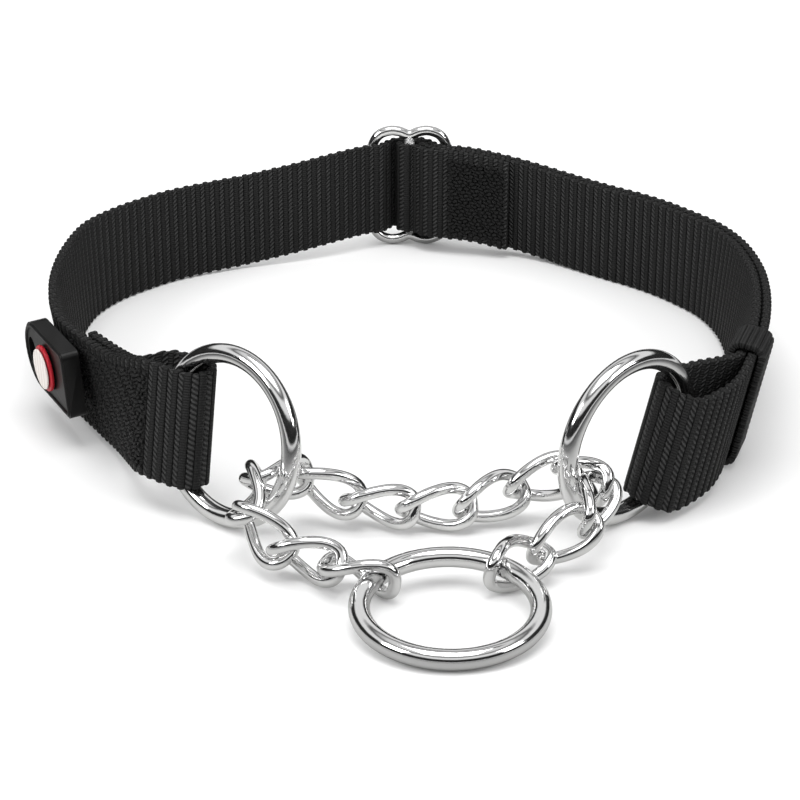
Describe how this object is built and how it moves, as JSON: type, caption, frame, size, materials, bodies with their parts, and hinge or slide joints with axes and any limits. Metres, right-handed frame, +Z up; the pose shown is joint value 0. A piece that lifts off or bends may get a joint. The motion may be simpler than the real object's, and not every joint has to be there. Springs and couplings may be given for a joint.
{
  "type": "martingale collar",
  "caption": "Slip dog collar: webbing strap with wire slider and keeper, side rings joined by a chain that carries a leash ring, and a rubber tag.",
  "frame": {"origin": "on the ground under the middle of the collar as it lies", "axes": "+Z up, +Y from the leash ring at the front to the slider at the nape, +X towards the side with the keeper"},
  "size_m": [0.1675, 0.239, 0.0376],
  "materials": {
    "nylon_webbing": "matt ribbed black nylon",
    "thread": "black sewing thread",
    "chrome": "polished plated steel wire",
    "black_rubber": "matt black rubber",
    "red_plastic": "matt red",
    "white_plastic": "matt off-white"
  },
  "bodies": {
    "nape": {"strap_nape": "nylon_webbing", "strap_sewn_end": "nylon_webbing", "seam_nape": "thread"},
    "slider": {"slider": "chrome"},
    "left_side": {"strap_left": "nylon_webbing", "seam_left": "thread"},
    "right_side": {"strap_right": "nylon_webbing"},
    "keeper": {"keeper_loop": "nylon_webbing"},
    "left_ring": {"ring_left": "chrome"},
    "right_ring": {"ring_right": "chrome"},
    "leash_ring": {"ring_leash": "chrome"},
    "tag": {"rubber_tag": "black_rubber", "badge_rim": "red_plastic", "badge_face": "white_plastic"},
    "link_left_1": {"link_left_1": "chrome"},
    "link_left_2": {"link_left_2": "chrome"},
    "link_left_3": {"link_left_3": "chrome"},
    "link_left_4": {"link_left_4": "chrome"},
    "link_left_ring": {"link_left_ring": "chrome"},
    "link_back_1": {"link_back_1": "chrome"},
    "link_back_2": {"link_back_2": "chrome"},
    "link_back_3": {"link_back_3": "chrome"},
    "link_back_4": {"link_back_4": "chrome"},
    "link_back_5": {"link_back_5": "chrome"},
    "link_right_ring": {"link_right_ring": "chrome"},
    "link_right_3": {"link_right_3": "chrome"},
    "link_right_2": {"link_right_2": "chrome"},
    "link_right_1": {"link_right_1": "chrome"}
  },
  "joints": [
    {"name": "left_side_flex", "type": "hinge", "parent": "nape", "child": "left_side", "pos_m": [-0.0414, 0.0947, 0.00018], "axis": [0, 0, 1], "range_deg": [0, 2.5], "stiffness_Nm_per_rad": 0.2},
    {"name": "right_side_flex", "type": "hinge", "parent": "nape", "child": "right_side", "pos_m": [0.0413, 0.0995, 0.00018], "axis": [0, 0, 1], "range_deg": [-2.5, 0], "stiffness_Nm_per_rad": 0.2},
    {"name": "slider_rock", "type": "hinge", "parent": "nape", "child": "slider", "pos_m": [0.0019, 0.1137, 0.01658], "axis": [0, 0, 1], "range_deg": [-3, 3]},
    {"name": "keeper_slide", "type": "slide", "parent": "right_side", "child": "keeper", "axis": [-0.2792, -0.9599, 0.0262], "range_m": [-0.006, 0.001]},
    {"name": "left_ring_swing", "type": "hinge", "parent": "left_side", "child": "left_ring", "pos_m": [-0.04743, -0.04663, 0.01888], "axis": [0.09, 0.107, 0.9902], "range_deg": [-1, 3]},
    {"name": "right_ring_swing", "type": "hinge", "parent": "right_side", "child": "right_ring", "pos_m": [0.05707, -0.04733, 0.01888], "axis": [0.0449, -0.0499, 0.9977], "range_deg": [-3, 0.5]},
    {"name": "tag_flex", "type": "hinge", "parent": "left_side", "child": "tag", "pos_m": [-0.069, -0.0225, 0.01538], "axis": [0, 0, 1], "range_deg": [0, 14], "stiffness_Nm_per_rad": 0.02},
    {"name": "chain_lift_left", "type": "hinge", "parent": "nape", "child": "link_left_4", "pos_m": [0.0389, -0.0679, 0.01318], "axis": [-0.999, 0.0441, 0], "range_deg": [0, 25]},
    {"name": "chain_lift_right", "type": "hinge", "parent": "nape", "child": "link_right_3", "pos_m": [0.0389, -0.0679, 0.01318], "axis": [-0.999, 0.0441, 0], "range_deg": [0, 25]},
    {"name": "link_left_3_roll", "type": "hinge", "parent": "link_left_4", "child": "link_left_3", "pos_m": [-0.0231, -0.0824, 0.00568], "axis": [-0.6572, 0.6134, 0.4381], "range_deg": [-5, 5]},
    {"name": "link_left_2_roll", "type": "hinge", "parent": "link_left_4", "child": "link_left_2", "pos_m": [-0.0131, -0.0874, 0.00568], "axis": [-0.8944, 0.4472, 0], "range_deg": [-5, 5]},
    {"name": "link_left_1_roll", "type": "hinge", "parent": "link_left_4", "child": "link_left_1", "pos_m": [-0.0031, -0.0919, 0.00468], "axis": [-0.9082, 0.4087, 0.0908], "range_deg": [-5, 5]},
    {"name": "link_right_2_roll", "type": "hinge", "parent": "link_right_3", "child": "link_right_2", "pos_m": [0.0354, -0.0779, 0.01018], "axis": [-0.8447, -0.3556, -0.4001], "range_deg": [-5, 5]},
    {"name": "link_right_1_roll", "type": "hinge", "parent": "link_right_3", "child": "link_right_1", "pos_m": [0.0259, -0.0819, 0.00568], "axis": [-0.7491, -0.661, -0.0441], "range_deg": [-5, 5]},
    {"name": "link_left_ring_roll", "type": "hinge", "parent": "nape", "child": "link_left_ring", "pos_m": [-0.0291, -0.0649, 0.01318], "axis": [0.7909, 0.5712, -0.2197], "range_deg": [-3, 3]},
    {"name": "link_right_ring_roll", "type": "hinge", "parent": "nape", "child": "link_right_ring", "pos_m": [0.0329, -0.0584, 0.01168], "axis": [0.5293, -0.8381, 0.1323], "range_deg": [-3, 3]},
    {"name": "back_span_swing", "type": "hinge", "parent": "nape", "child": "link_back_3", "pos_m": [-0.0201, -0.0584, 0.01068], "axis": [0.9998, 0, 0.0189], "range_deg": [-4, 4]},
    {"name": "link_back_1_roll", "type": "hinge", "parent": "link_back_3", "child": "link_back_1", "pos_m": [-0.0201, -0.0584, 0.01068], "axis": [0.8971, -0.1794, -0.4037], "range_deg": [-5, 5]},
    {"name": "link_back_2_roll", "type": "hinge", "parent": "link_back_3", "child": "link_back_2", "pos_m": [-0.0101, -0.0604, 0.00618], "axis": [0.9742, -0.2214, -0.0443], "range_deg": [-5, 5]},
    {"name": "link_back_4_roll", "type": "hinge", "parent": "link_back_3", "child": "link_back_4", "pos_m": [0.0124, -0.0619, 0.00568], "axis": [0.9113, 0.3906, 0.1302], "range_deg": [-5, 5]},
    {"name": "link_back_5_roll", "type": "hinge", "parent": "link_back_3", "child": "link_back_5", "pos_m": [0.0229, -0.0574, 0.00718], "axis": [0.9082, -0.0908, 0.4087], "range_deg": [-5, 5]},
    {"name": "leash_ring_swing", "type": "hinge", "parent": "link_left_4", "child": "leash_ring", "pos_m": [0.0174, -0.0894, 0.00518], "axis": [-0.9924, -0.121, -0.0242], "range_deg": [0, 15]}
  ],
  "couplings": [
    {"joint": "right_side_flex", "follows": "left_side_flex", "ratio": -1},
    {"joint": "chain_lift_right", "follows": "chain_lift_left", "ratio": 1}
  ]
}
